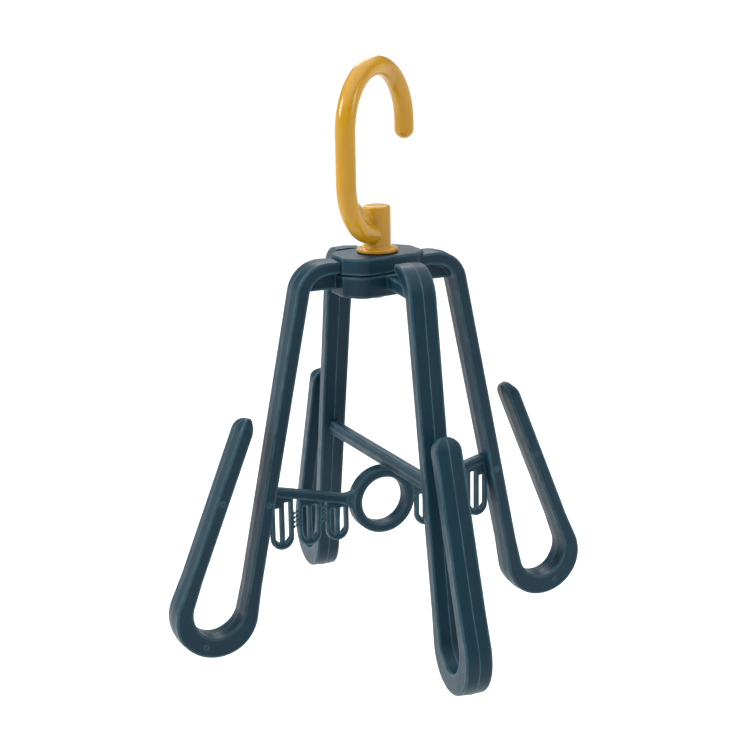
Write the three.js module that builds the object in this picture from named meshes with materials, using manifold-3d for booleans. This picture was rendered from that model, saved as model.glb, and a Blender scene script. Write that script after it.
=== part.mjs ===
// Folding clip drying hanger: a swivel hook carries two hooked frames that turn about one stem.
// Millimetres, +Z up. The origin is the inside top of the hook's arch, where the rail bears,
// on the swivel axis. +X runs along the upper frame, towards one of its arms.
import * as THREE from "three";
import { mergeVertices } from "three/addons/utils/BufferGeometryUtils.js";
import Module from "manifold-3d";

const GAP = 0.3; // between neighbouring solids

// Hook
const ROD_R = 5.4;
const ARCH_R = 32.5;
const HOOK_AZIMUTH = 36.2;
const TIP_DROP = 4;
const LOWER_BEND_R = 30;
const ROD_ENTRY = 10.3; // height of the rod's lower end over the hub
const BOSS_R = 7.5;
const BOSS_HEIGHT = 25.4;
const BOSS_ROUND = 0.9;
const FLANGE_R = 11.25;
const FLANGE_THICK = 2.5;
const GUSSET_THICK = 3.4;
const GUSSET_LOW = 20; // height of the gusset's edge at the boss
const GUSSET_OVERLAP = 1; // how far the gusset runs into the rod

// Pivot
const HUB_TOP = -94; // height of the upper hub's top
const STEM_R = 4;
const BORE_R = 4.25;
const UPPER_HUB_THICK = 9.3;
const LOWER_HUB_THICK = 11.8;
const HUB_GAP = 0.5;
const WASHER_R = 8;
const WASHER_THICK = 1.2;
const SCREW_HEAD_R = 3.6;
const SCREW_HEAD_THICK = 2.4;
const SCREW_SHANK_R = 1.4;
const SCREW_LENGTH = 11.5;
const SCREW_CROSS = [4.2, 0.9, 1.4];
const PILOT_RUNOUT = 1; // how far the screw's hole passes its ends

// Hub outline, one half; the other half is the same turned by 180 degrees
const HUB_END = 24.67;
const HUB_FRONT = [19.38, 12.97];
const HUB_BACK = [-16.77, 18.36];
const HUB_BEVEL = 1.1;

// Arms, in the arm's own plane: u outwards from the axis, z from the top of the upper hub
const ROOT_TOP_U = 23;
const ROOT_Z = -6;
const ARM_RISE = 1.73;
const ARM_CORNER_U = 44.1;
const ARM_BEND_R = 14.93;
const LEG_ANGLE = 11.53;
const ARM_THICK = 8.2; // of an arm where its bend starts
const LEG_THICK = 8.6;
const LEG_TOP_WIDTH = 15;
const LEG_FOOT_WIDTH = 14;
const FOOT_BEND_R = 19.15;
const FOOT_CENTRE_Z = -190.3;
const FOOT_THICK = 12.5;
const FOOT_START_SWELL = 0.35; // share of the swelling that the foot already has at its ends
const FOOT_SWELL = 0.9; // how soon the foot reaches its full thickness
const SWELL_RUN = 16; // length of leg or prong over which the swelling starts
const PRONG_THICK = 8.5;
const PRONG_WIDTH = 14.9;
const PRONG_LEAN = 22.1;
const PRONG_LENGTH = 107.6;
const TIP_LENGTH = 8;
const TIP_LEG_TAPER = 0.3; // how far the tip thins on the leg's side, as a share
const TIP_OUTER_TAPER = 1.1; // and on the outer side
const EDGE_CHAMFER = 0.9;
const UPPER_ROOT_U = HUB_END + GAP;
const UPPER_ROOT_THICK = 7.4;
const LOWER_ROOT_U = 27.2;
const LOWER_ROOT_THICK = 5.4;
const UPPER_OFFSET = -0.9; // sideways shift of the upper frame's arms
const LOWER_OFFSET = 7.4; // and of the lower frame's
const TONGUE_DEPTH = 7;
const TONGUE_DROP = 1; // from the lower hub's top to the tongue's
const LOWER_AZIMUTH = -95.7;
const WEB_THICK = 3;
const WEB_INNER_U = 28;
const WEB_OVERLAP = 1.5; // how far the web runs into the arm
const UPPER_WEB_Z = -18;
const LOWER_WEB_Z = -9.4;

// Crossbar with the ring
const RING_Z = -141.3;
const RING_OUTER = 19.1;
const RING_INNER = 13.4;
const RING_DEPTH = 8;
const BAR_HEIGHT = 5.4;
const BAR_DEPTH = 5;
const BAR_LEG_Z = -126.2; // middle of the bar where it meets a leg
const BAR_RING_Z = -138.6; // and where it meets the ring
const BAR_FLARE = 1.2;
const BAR_FLARE_LENGTH = 2.4; // from the ring to where the bar is plain, along its underside
const BAR_FLARE_START = 0.4;
const BAR_OVERLAP = 2; // how far the bar runs into the ring

// Plain crossbar of the lower frame
const LOWER_BAR_Z = -115.9;
const LOWER_BAR_HEIGHT = 8.2;
const LOWER_BAR_DEPTH = 6.4;

// Clip fingers, numbered from the leg to the ring
const FINGER_CENTRES = [60.6, 44.2, 27.5];
const FINGER_TEETH = [[-1], [-1, 1], [1]]; // -1 towards the ring, 1 towards the leg
const FINGER_WIDTH = 13.4;
const FINGER_BOTTOM = -161.3;
const FINGER_THICK = 2.6;
const SLOT_WIDTH = 2.9;
const RIB_WIDTH = 2.6;
const STRIP_WIDTH = 2.5;
const TOOTH_PITCH = 2.6;
const TOOTH_HEIGHT = 1.25;
const TOOTH_TOP = -139.8;
const TOOTH_COUNT = 4;
const TOOTH_SINK = 0.5;
const TOOTH_INSET = 0.3; // from a finger's face to a tooth's
const SLOT_FOOT_CURVE = 0.8; // how closely a slot's foot follows the round end
const SLOT_CEILING = 1.2; // from a finger's top to its slots
const TRIMMED_SLOT_CEILING = 4; // the same where the leg cuts the finger's corner off

const FRAME_PLASTIC = { color: 0x23404f, roughness: 0.42, metalness: 0 };
const HOOK_PLASTIC = { color: 0xc98f33, roughness: 0.28, metalness: 0 };
const STEEL = { color: 0xb9bcc0, roughness: 0.3, metalness: 0.9 };

const ROUND_SIDES = 40;
const LEG_LEAN = THREE.MathUtils.degToRad(LEG_ANGLE);
const LOWER_HUB_TOP = -UPPER_HUB_THICK - HUB_GAP;
const LOWER_HUB_FOOT = LOWER_HUB_TOP - LOWER_HUB_THICK;
const STEM_FOOT = LOWER_HUB_FOOT - GAP;
const WASHER_TOP = STEM_FOOT - GAP;
const SCREW_TOP = WASHER_TOP - WASHER_THICK - GAP;

const wasm = await Module();
wasm.setup();

// ---------------------------------------------------------------- geometry helpers

function solidFrom(vertices, faces) {
  const mesh = { numProp: 3, vertProperties: vertices, triVerts: faces };
  return new wasm.Manifold(new wasm.Mesh(mesh));
}

// A closed three.js geometry as a solid, with its faces turned outwards.
function solid(geometry) {
  const bare = geometry.clone();
  bare.deleteAttribute("normal");
  bare.deleteAttribute("uv");
  const merged = mergeVertices(bare, 1e-4);
  const index = merged.index.array;
  const faces = [];
  for (let i = 0; i < index.length; i += 3) {
    const [a, b, c] = [index[i], index[i + 1], index[i + 2]];
    if (a !== b && b !== c && c !== a) faces.push(a, b, c);
  }
  const vertices = new Float32Array(merged.attributes.position.array);
  const made = solidFrom(vertices, new Uint32Array(faces));
  return made.volume() > 0 ? made : solidFrom(vertices, new Uint32Array(faces.reverse()));
}

function geometryOf(body) {
  const mesh = body.getMesh();
  const geometry = new THREE.BufferGeometry();
  const positions = new Float32Array(mesh.vertProperties);
  geometry.setAttribute("position", new THREE.BufferAttribute(positions, 3));
  geometry.setIndex(new THREE.BufferAttribute(new Uint32Array(mesh.triVerts), 1));
  geometry.computeVertexNormals();
  return geometry;
}

function joined(...geometries) {
  return geometries.map(solid).reduce((all, next) => all.add(next));
}

function shapeOf(points) {
  return new THREE.Shape(points.map(([x, y]) => new THREE.Vector2(x, y)));
}

// A body of revolution about Z from [radius, z] points.
function turning(points, sides = ROUND_SIDES) {
  const profile = points.map(([radius, z]) => new THREE.Vector2(radius, z));
  return new THREE.LatheGeometry(profile, sides).rotateX(Math.PI / 2);
}

function rod(radius, z0, z1, sides = ROUND_SIDES) {
  return turning([[0, z0], [radius, z0], [radius, z1], [0, z1]], sides);
}

function extruded(shape, depth, bevel, curveSegments = 14) {
  return new THREE.ExtrudeGeometry(shape, {
    depth: depth - 2 * bevel,
    bevelEnabled: bevel > 0,
    bevelThickness: bevel,
    bevelSize: bevel,
    bevelOffset: -bevel,
    bevelSegments: 1,
    curveSegments,
  }).translate(0, 0, bevel);
}

// A plate in the (u, z) plane of an arm or a crossbar, thick along y about the given middle.
function plate(shape, thick, bevel = 0, middle = 0) {
  return extruded(shape, thick, bevel)
    .rotateX(Math.PI / 2)
    .translate(0, middle + thick / 2, 0);
}

function arcPoints(cu, cz, radius, from, to, count) {
  const points = [];
  for (let i = 0; i <= count; i++) {
    const angle = THREE.MathUtils.degToRad(from + ((to - from) * i) / count);
    points.push([cu + radius * Math.cos(angle), cz + radius * Math.sin(angle)]);
  }
  return points;
}

// Closes a stack of equal rings of points.
function loft(rings) {
  const sides = rings[0].length;
  const faces = [];
  for (let i = 0; i + 1 < rings.length; i++) {
    for (let j = 0; j < sides; j++) {
      const a = i * sides + j;
      const b = i * sides + ((j + 1) % sides);
      faces.push(a, b, a + sides, b, b + sides, a + sides);
    }
  }
  const last = (rings.length - 1) * sides;
  for (let j = 1; j + 1 < sides; j++) {
    faces.push(0, j + 1, j);
    faces.push(last, last + j, last + j + 1);
  }
  const geometry = new THREE.BufferGeometry();
  const positions = new THREE.Float32BufferAttribute(rings.flat(2), 3);
  geometry.setAttribute("position", positions);
  geometry.setIndex(faces);
  return geometry;
}

// ---------------------------------------------------------------- hook and pivot
// From here on z is measured from the top of the upper hub.

// The rod's centre line in the hook's plane: tip, arch, straight shank, lower bend.
class RodCurve extends THREE.Curve {
  constructor() {
    super();
    const archZ = ROD_R - ARCH_R - HUB_TOP;
    const bendZ = ROD_ENTRY + LOWER_BEND_R;
    this.tip = new THREE.Vector3(ARCH_R, 0, archZ - TIP_DROP);
    this.path = new THREE.Path();
    this.path.moveTo(ARCH_R, archZ - TIP_DROP);
    this.path.lineTo(ARCH_R, archZ);
    this.path.absarc(0, archZ, ARCH_R, 0, Math.PI, false);
    this.path.lineTo(-ARCH_R, bendZ);
    this.path.absarc(LOWER_BEND_R - ARCH_R, bendZ, LOWER_BEND_R, Math.PI, 1.5 * Math.PI, false);
    this.path.lineTo(0, ROD_ENTRY);
  }

  getPoint(t, target = new THREE.Vector3()) {
    const { x, y } = this.path.getPoint(t);
    return target.set(x, 0, y);
  }
}

function hookRod() {
  const curve = new RodCurve();
  const section = new THREE.Shape().absarc(0, 0, ROD_R, 0, 2 * Math.PI, false);
  const options = { steps: 62, extrudePath: curve, bevelEnabled: false, curveSegments: 20 };
  const tube = new THREE.ExtrudeGeometry(section, options);
  const tip = new THREE.SphereGeometry(ROD_R, 20, 14).translate(...curve.tip);
  return joined(tube, tip);
}

function gusset() {
  const bendU = LOWER_BEND_R - ARCH_R;
  const bendZ = ROD_ENTRY + LOWER_BEND_R;
  const underRod = arcPoints(bendU, bendZ, LOWER_BEND_R - GUSSET_OVERLAP, 188, 268, 12);
  const outline = [...underRod, [0, ROD_ENTRY], [0, GUSSET_LOW - 4], [-BOSS_R, GUSSET_LOW]];
  return plate(shapeOf(outline), GUSSET_THICK, 0.8);
}

// Boss, flange and stem are one turned shape.
function stem() {
  return turning([
    [0, STEM_FOOT],
    [STEM_R, STEM_FOOT],
    [STEM_R, GAP],
    [FLANGE_R - 0.4, GAP],
    [FLANGE_R, GAP + 0.4],
    [FLANGE_R, FLANGE_THICK - 0.5],
    [FLANGE_R - 0.6, FLANGE_THICK],
    [BOSS_R + 1.2, FLANGE_THICK + 0.2],
    [BOSS_R, FLANGE_THICK + 1.4],
    [BOSS_R, BOSS_HEIGHT - BOSS_ROUND],
    [BOSS_R - BOSS_ROUND, BOSS_HEIGHT],
    [0, BOSS_HEIGHT],
  ]);
}

function hook() {
  const top = STEM_FOOT + SCREW_LENGTH + PILOT_RUNOUT;
  const pilot = rod(SCREW_SHANK_R + GAP, STEM_FOOT - PILOT_RUNOUT, top, 24);
  const body = hookRod().add(solid(gusset())).add(solid(stem()));
  return geometryOf(body.subtract(solid(pilot)));
}

function screw() {
  const head = turning([
    [0, SCREW_TOP - SCREW_HEAD_THICK],
    [SCREW_HEAD_R - 1.1, SCREW_TOP - SCREW_HEAD_THICK],
    [SCREW_HEAD_R, SCREW_TOP - 0.9],
    [SCREW_HEAD_R, SCREW_TOP],
    [SCREW_SHANK_R, SCREW_TOP],
    [SCREW_SHANK_R, SCREW_TOP + SCREW_LENGTH],
    [0, SCREW_TOP + SCREW_LENGTH],
  ]);
  const foot = SCREW_TOP - SCREW_HEAD_THICK;
  const slot = new THREE.BoxGeometry(...SCREW_CROSS).translate(0, 0, foot);
  const cross = new THREE.BoxGeometry(...SCREW_CROSS).rotateZ(Math.PI / 2).translate(0, 0, foot);
  return geometryOf(solid(head).subtract(joined(slot, cross)));
}

function washer() {
  const inner = SCREW_SHANK_R + GAP;
  const foot = WASHER_TOP - WASHER_THICK;
  const outside = [[WASHER_R, foot], [WASHER_R, WASHER_TOP]];
  return turning([[inner, foot], ...outside, [inner, WASHER_TOP], [inner, foot]]);
}

// ---------------------------------------------------------------- hubs

// The hub's eight corners, round the bore.
function hubShape() {
  const half = LEG_TOP_WIDTH / 2;
  const ends = [[HUB_END, UPPER_OFFSET - half], [HUB_END, UPPER_OFFSET + half], HUB_FRONT, HUB_BACK];
  const corners = [...ends, ...ends.map(([x, y]) => [-x, -y])];
  const shape = shapeOf(corners);
  shape.holes.push(new THREE.Path().absarc(0, 0, BORE_R, 0, 2 * Math.PI, true));
  return shape;
}

function hubPlate(thick, top) {
  return extruded(hubShape(), thick, HUB_BEVEL).translate(0, 0, top - thick);
}

// The tongue under a lower arm ends on the inner side of its leg.
function tongue() {
  const { centre } = armBend();
  const radius = ARM_BEND_R - LEG_THICK / 2 - GAP;
  const top = LOWER_HUB_TOP - TONGUE_DROP;
  const foot = top - TONGUE_DEPTH;
  const angleAt = (z) => THREE.MathUtils.radToDeg(Math.asin((z - centre[1]) / radius));
  const curve = arcPoints(centre[0], centre[1], radius, angleAt(foot), angleAt(top), 8);
  const outline = [[HUB_END / 2, foot], ...curve, [HUB_END / 2, top]];
  return plate(shapeOf(outline), LEG_TOP_WIDTH - 0.4, 0.5, LOWER_OFFSET);
}

// Unfolded, the lower hub lies flush under the upper one, so its outline is turned back.
function lowerHub() {
  const turnBack = -THREE.MathUtils.degToRad(LOWER_AZIMUTH);
  const body = hubPlate(LOWER_HUB_THICK, LOWER_HUB_TOP).rotateZ(turnBack);
  const tongues = joined(tongue(), tongue().rotateZ(Math.PI));
  return geometryOf(solid(body).add(tongues));
}

// ---------------------------------------------------------------- arms

function armBend() {
  const rise = THREE.MathUtils.degToRad(ARM_RISE);
  const turn = Math.PI / 2 - LEG_LEAN + rise;
  const cornerZ = ROOT_Z + (ARM_CORNER_U - ROOT_TOP_U) * Math.tan(rise);
  const back = ARM_BEND_R * Math.tan(turn / 2);
  const start = [ARM_CORNER_U - back * Math.cos(rise), cornerZ - back * Math.sin(rise)];
  const centre = [start[0] + ARM_BEND_R * Math.sin(rise), start[1] - ARM_BEND_R * Math.cos(rise)];
  return { rise, turn, start, centre };
}

// Middle of a leg at a height.
function legU(z) {
  const { centre } = armBend();
  const top = [centre[0] + ARM_BEND_R * Math.cos(LEG_LEAN), centre[1] + ARM_BEND_R * Math.sin(LEG_LEAN)];
  return top[0] + (top[1] - z) * Math.tan(LEG_LEAN);
}

// Where a part between the legs ends, a gap short of the leg's inner face.
function legFace(z) {
  return legU(z) - LEG_THICK / 2 / Math.cos(LEG_LEAN) - GAP;
}

function section(u, z, angle, inside, outside, width) {
  return { u, z, normal: [Math.cos(angle), Math.sin(angle)], inside, outside, width };
}

function bendSections(rootU, rootThick) {
  const { rise, turn, start, centre } = armBend();
  const steps = 8;
  const rootHalf = ARM_THICK / 2;
  const up = Math.PI / 2 + rise;
  const rootZ = start[1] - (start[0] - rootU) * Math.tan(rise);
  const sections = [section(rootU, rootZ, up, rootThick - rootHalf, rootHalf, LEG_TOP_WIDTH)];
  for (let i = 0; i <= steps; i++) {
    const angle = up - (turn * i) / steps;
    const half = THREE.MathUtils.lerp(ARM_THICK, LEG_THICK, i / steps) / 2;
    const inside = i === 0 ? rootThick / 2 : half;
    const u = centre[0] + ARM_BEND_R * Math.cos(angle);
    const z = centre[1] + ARM_BEND_R * Math.sin(angle);
    sections.push(section(u, z, angle, inside, half, LEG_TOP_WIDTH));
  }
  return sections;
}

// The upturned foot swells in thickness towards its lowest point, and the leg starts to swell above it.
function footSections() {
  const steps = 20;
  const footZ = FOOT_CENTRE_Z - FOOT_BEND_R * Math.sin(LEG_LEAN);
  const centreU = legU(footZ) + FOOT_BEND_R * Math.cos(LEG_LEAN);
  const sweep = Math.PI - LEG_LEAN + THREE.MathUtils.degToRad(PRONG_LEAN);
  const legHalf = LEG_THICK / 2;
  const swellZ = footZ + SWELL_RUN;
  const sections = [section(legU(swellZ), swellZ, LEG_LEAN, legHalf, legHalf, LEG_FOOT_WIDTH)];
  for (let i = 0; i <= steps; i++) {
    const along = i / steps;
    const angle = Math.PI + LEG_LEAN + sweep * along;
    const plain = THREE.MathUtils.lerp(LEG_THICK, PRONG_THICK, along);
    const swell = Math.min(1, FOOT_START_SWELL + FOOT_SWELL * Math.sin(Math.PI * along));
    const half = THREE.MathUtils.lerp(plain, FOOT_THICK, swell) / 2;
    const width = THREE.MathUtils.lerp(LEG_FOOT_WIDTH, PRONG_WIDTH, along);
    const u = centreU + FOOT_BEND_R * Math.cos(angle);
    const z = FOOT_CENTRE_Z + FOOT_BEND_R * Math.sin(angle);
    sections.push(section(u, z, angle + Math.PI, half, half, width));
  }
  return sections;
}

// The prong ends round when seen from outside, and its outer face curves in at the tip.
function prongSections(start) {
  const steps = 5;
  const lean = THREE.MathUtils.degToRad(PRONG_LEAN);
  const half = PRONG_THICK / 2;
  const angle = Math.atan2(start.normal[1], start.normal[0]);
  const place = (reach) => [start.u - Math.sin(lean) * reach, start.z + Math.cos(lean) * reach];
  const sections = [section(...place(SWELL_RUN), angle, half, half, PRONG_WIDTH)];
  for (let i = 0; i <= steps; i++) {
    const along = Math.sin(THREE.MathUtils.degToRad((80 * i) / steps));
    const round = Math.sqrt(1 - along * along);
    const reach = PRONG_LENGTH - TIP_LENGTH + TIP_LENGTH * along;
    const legSide = half * (1 - TIP_LEG_TAPER * along * along);
    const outerSide = half * (1 - TIP_OUTER_TAPER * (1 - round));
    sections.push(section(...place(reach), angle, outerSide, legSide, PRONG_WIDTH * round));
  }
  return sections;
}

// An eight-sided ring of points round a section: a rectangle with chamfered corners.
function sectionRing({ u, z, normal, inside, outside, width }, offset) {
  const c = Math.min(EDGE_CHAMFER, width / 4, (inside + outside) / 4);
  const w = width / 2;
  const corners = [
    [outside, c - w], [outside, w - c], [outside - c, w], [c - inside, w],
    [-inside, w - c], [-inside, c - w], [c - inside, -w], [outside - c, -w],
  ];
  return corners.map(([out, y]) => [u + normal[0] * out, y + offset, z + normal[1] * out]);
}

// The web fills the inner corner of the bend, down to a level foot.
function web(foot, offset) {
  const { centre } = armBend();
  const radius = ARM_BEND_R - LEG_THICK / 2 + WEB_OVERLAP;
  const top = centre[1] + radius;
  const level = Math.max(foot, centre[1]);
  const lowest = THREE.MathUtils.radToDeg(Math.asin((level - centre[1]) / radius));
  const curve = arcPoints(centre[0], centre[1], radius, lowest, 90, 8);
  const outline = [[WEB_INNER_U, foot], ...curve, [WEB_INNER_U, top]];
  return plate(shapeOf(outline), WEB_THICK, 0, offset);
}

function arm(rootU, rootThick, offset, webFoot) {
  const foot = footSections();
  const prong = prongSections(foot[foot.length - 1]);
  const sections = [...bendSections(rootU, rootThick), ...foot, ...prong];
  const band = loft(sections.map((one) => sectionRing(one, offset)));
  return geometryOf(joined(band, web(webFoot, offset)));
}

// ---------------------------------------------------------------- crossbars

// Middle of the ring crossbar's bar: it falls from the leg to the ring.
function barZ(u) {
  const slope = (BAR_LEG_Z - BAR_RING_Z) / (legU(BAR_LEG_Z) - RING_OUTER);
  return BAR_RING_Z + (u - RING_OUTER) * slope;
}

function barShape() {
  const half = BAR_HEIGHT / 2;
  const start = RING_INNER + BAR_OVERLAP;
  const flare = RING_OUTER + BAR_FLARE_START;
  const full = RING_OUTER + BAR_FLARE_LENGTH;
  const fullOver = full + BAR_FLARE_START + BAR_FLARE;
  const endFoot = legFace(BAR_LEG_Z - half);
  const endTop = legFace(BAR_LEG_Z + half);
  return shapeOf([
    [start, barZ(start) - half - BAR_FLARE],
    [flare, barZ(flare) - half - BAR_FLARE / 2],
    [full, barZ(full) - half],
    [endFoot, barZ(endFoot) - half],
    [endTop, barZ(endTop) + half],
    [fullOver, barZ(fullOver) + half],
    [flare, barZ(flare) + half + BAR_FLARE],
    [start, barZ(start) + half + 2 * BAR_FLARE],
  ]);
}

function ringShape() {
  const shape = new THREE.Shape().absarc(0, RING_Z, RING_OUTER, 0, 2 * Math.PI, false);
  shape.holes.push(new THREE.Path().absarc(0, RING_Z, RING_INNER, 0, 2 * Math.PI, true));
  return shape;
}

function ringCrossbar() {
  const ring = extruded(ringShape(), RING_DEPTH, 0.7, 48)
    .rotateX(Math.PI / 2)
    .translate(0, RING_DEPTH / 2, 0);
  const bar = plate(barShape(), BAR_DEPTH, 0.5);
  const other = bar.clone().rotateZ(Math.PI);
  return geometryOf(joined(ring, bar, other));
}

// The lower frame's legs are set to opposite sides of its hub, so the bar between them is skewed.
const lowerBarReach = legFace(LOWER_BAR_Z);
const lowerBarSkew = Math.atan2(LOWER_OFFSET, lowerBarReach);

function lowerCrossbar() {
  const half = LOWER_BAR_HEIGHT / 2;
  const stretch = 1 / Math.cos(lowerBarSkew);
  const top = (legFace(LOWER_BAR_Z + half) - 2 * GAP) * stretch;
  const foot = (legFace(LOWER_BAR_Z - half) - 2 * GAP) * stretch;
  const low = LOWER_BAR_Z - half;
  const high = LOWER_BAR_Z + half;
  const outline = [[-foot, low], [foot, low], [top, high], [-top, high]];
  return plate(shapeOf(outline), LOWER_BAR_DEPTH, 0.5).rotateZ(lowerBarSkew);
}

// ---------------------------------------------------------------- clip fingers

// Teeth on a finger's edge at u, sunk a little into the finger.
function teeth(side, u) {
  const root = u - side * TOOTH_SINK;
  return Array.from({ length: TOOTH_COUNT }, (_, i) => {
    const z = TOOTH_TOP - i * TOOTH_PITCH;
    const tip = [u + side * TOOTH_HEIGHT, z - TOOTH_PITCH / 2];
    return plate(shapeOf([[root, z], tip, [root, z - TOOTH_PITCH]]), FINGER_THICK - 2 * TOOTH_INSET);
  });
}

// A slot beside the middle rib, with a foot that follows the finger's round end.
function slot(centre, side, ceiling) {
  const round = FINGER_BOTTOM + FINGER_WIDTH / 2;
  const inner = FINGER_WIDTH / 2 - STRIP_WIDTH;
  const near = RIB_WIDTH / 2;
  const far = near + SLOT_WIDTH;
  const foot = (reach) => round - SLOT_FOOT_CURVE * Math.sqrt(Math.max(inner ** 2 - reach ** 2, 0));
  const corners = [[near, ceiling], [near, foot(near)], [far, foot(far)], [far, ceiling]];
  return plate(shapeOf(corners.map(([reach, z]) => [centre + side * reach, z])), 2 * FINGER_THICK);
}

// One clip finger hanging from the bar, with two slots, and teeth where it faces a neighbour.
function finger(centre, toothSides) {
  const half = FINGER_WIDTH / 2;
  const left = centre - half;
  const right = centre + half;
  const top = (u) => barZ(u) - BAR_HEIGHT / 2 - GAP;
  const shoulder = Math.min(right, legFace(top(right)));
  const trimmed = shoulder < right;
  const outline = [[left, top(left)], ...arcPoints(centre, FINGER_BOTTOM + half, half, 180, 360, 14)];
  if (trimmed) outline.push([right, top(right) - (right - shoulder) / Math.tan(LEG_LEAN)]);
  outline.push([shoulder, top(shoulder)]);
  let body = solid(plate(shapeOf(outline), FINGER_THICK, 0.3));
  for (const side of toothSides) {
    body = body.add(joined(...teeth(side, centre + side * half)));
  }
  for (const side of [-1, 1]) {
    const margin = trimmed && side > 0 ? TRIMMED_SLOT_CEILING : SLOT_CEILING;
    body = body.subtract(solid(slot(centre, side, top(left) - margin)));
  }
  return geometryOf(body);
}

// ---------------------------------------------------------------- assembly

function part(name, geometry, finish, turn = 0) {
  const mesh = new THREE.Mesh(geometry, new THREE.MeshStandardMaterial(finish));
  mesh.name = name;
  mesh.rotation.z = turn;
  return mesh;
}

const swivel = new THREE.Group();
swivel.rotation.z = THREE.MathUtils.degToRad(HOOK_AZIMUTH);
swivel.add(part("hook", hook(), HOOK_PLASTIC));
swivel.add(part("retaining_washer", washer(), STEEL));
swivel.add(part("pivot_screw", screw(), STEEL));

const upperFrame = new THREE.Group();
const upperArm = arm(UPPER_ROOT_U, UPPER_ROOT_THICK, UPPER_OFFSET, UPPER_WEB_Z);
upperFrame.add(part("upper_hub", hubPlate(UPPER_HUB_THICK, 0), FRAME_PLASTIC));
upperFrame.add(part("upper_arm_right", upperArm, FRAME_PLASTIC));
upperFrame.add(part("upper_arm_left", upperArm, FRAME_PLASTIC, Math.PI));
upperFrame.add(part("ring_crossbar", ringCrossbar(), FRAME_PLASTIC));
FINGER_CENTRES.forEach((centre, i) => {
  const shape = finger(centre, FINGER_TEETH[i]);
  upperFrame.add(part(`clip_finger_right_${i + 1}`, shape, FRAME_PLASTIC));
  upperFrame.add(part(`clip_finger_left_${i + 1}`, shape, FRAME_PLASTIC, Math.PI));
});

const lowerFrame = new THREE.Group();
lowerFrame.rotation.z = THREE.MathUtils.degToRad(LOWER_AZIMUTH);
const lowerArm = arm(LOWER_ROOT_U, LOWER_ROOT_THICK, LOWER_OFFSET, LOWER_WEB_Z);
lowerFrame.add(part("lower_hub", lowerHub(), FRAME_PLASTIC));
lowerFrame.add(part("lower_arm_front", lowerArm, FRAME_PLASTIC));
lowerFrame.add(part("lower_arm_back", lowerArm, FRAME_PLASTIC, Math.PI));
lowerFrame.add(part("lower_crossbar", lowerCrossbar(), FRAME_PLASTIC));

const group = new THREE.Group();
group.position.z = HUB_TOP;
group.add(swivel, upperFrame, lowerFrame);

export default group;
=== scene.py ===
# A folding clip drying hanger: a swivel hook over two hooked plastic frames.
# Shapes are worked out in millimetres in each frame's own plane, u outwards from the swivel
# axis and z up from the top of the upper hub, and then placed in the part's frame in metres.
import math

import bmesh
import bpy
from mathutils import Matrix, Vector


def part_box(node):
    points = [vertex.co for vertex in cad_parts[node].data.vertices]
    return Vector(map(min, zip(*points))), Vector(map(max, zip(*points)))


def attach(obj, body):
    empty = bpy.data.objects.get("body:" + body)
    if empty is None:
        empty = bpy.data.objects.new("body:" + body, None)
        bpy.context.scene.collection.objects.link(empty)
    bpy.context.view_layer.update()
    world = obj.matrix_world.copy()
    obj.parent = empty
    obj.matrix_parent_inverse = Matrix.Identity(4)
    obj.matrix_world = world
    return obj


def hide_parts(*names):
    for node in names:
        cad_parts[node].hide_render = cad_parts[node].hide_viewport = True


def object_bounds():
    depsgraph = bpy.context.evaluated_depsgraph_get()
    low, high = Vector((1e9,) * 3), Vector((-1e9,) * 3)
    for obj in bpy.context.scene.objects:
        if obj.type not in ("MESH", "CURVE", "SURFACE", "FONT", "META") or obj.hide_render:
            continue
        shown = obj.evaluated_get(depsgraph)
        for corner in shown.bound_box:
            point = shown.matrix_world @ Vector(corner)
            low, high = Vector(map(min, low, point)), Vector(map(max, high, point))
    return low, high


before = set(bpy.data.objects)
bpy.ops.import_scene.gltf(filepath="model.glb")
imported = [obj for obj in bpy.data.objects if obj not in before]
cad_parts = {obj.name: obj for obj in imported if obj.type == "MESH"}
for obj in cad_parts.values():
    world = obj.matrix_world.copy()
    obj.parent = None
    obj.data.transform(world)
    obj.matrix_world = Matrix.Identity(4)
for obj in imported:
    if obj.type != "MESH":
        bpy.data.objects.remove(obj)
cad_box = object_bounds()

MM = 0.001
GAP = 0.3  # between parts that don't touch
HUB_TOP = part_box("upper_hub")[1].z
LOWER_HUB_TOP = (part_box("lower_hub")[1].z - HUB_TOP) / MM
LOWER_HUB_FOOT = (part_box("lower_hub")[0].z - HUB_TOP) / MM
UPPER_HUB_FOOT = (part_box("upper_hub")[0].z - HUB_TOP) / MM
STEM_FOOT = (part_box("hook")[0].z - HUB_TOP) / MM
WASHER_TOP = (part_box("retaining_washer")[1].z - HUB_TOP) / MM
WASHER_FOOT = (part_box("retaining_washer")[0].z - HUB_TOP) / MM
SCREW_FOOT = (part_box("pivot_screw")[0].z - HUB_TOP) / MM

# Hook
HOOK_AZIMUTH = 36.2
ROD_R = 5.4
ARCH_R = 32.5
ARCH_Z = -HUB_TOP / MM + ROD_R - ARCH_R
TIP_DROP = 4
LOWER_BEND_R = 30
ROD_ENTRY = 10.3
BOSS_R = 7.5
BOSS_HEIGHT = 25.4
BOSS_ROUND = 1.5
BOSS_FOOT_ROUND = 1.2
FLANGE_R = 11.25
FLANGE_THICK = 2.5
FLANGE_ROUND = 0.9
FLANGE_UNDER_ROUND = 0.5
STEM_R = 4
STEM_CHAMFER = 0.4
GUSSET_THICK = 3.4
GUSSET_LOW = 20
GUSSET_DIP = 4  # how much lower its top edge is on the axis than at the boss's side
GUSSET_OVERLAP = 1
GUSSET_ARC = (188, 268)
GUSSET_EDGE = 0.8
HOOK_VOXEL = 0.28
HOOK_SMOOTHING = 2

# Hubs
HUB_END = 24.67
HUB_FRONT = (19.38, 12.97)
HUB_BACK = (-16.77, 18.36)
HUB_END_ROUND = 1.2
HUB_CORNER_ROUND = 9
HUB_EDGE_ROUND = 1.1
BORE_R = 4.25

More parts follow.
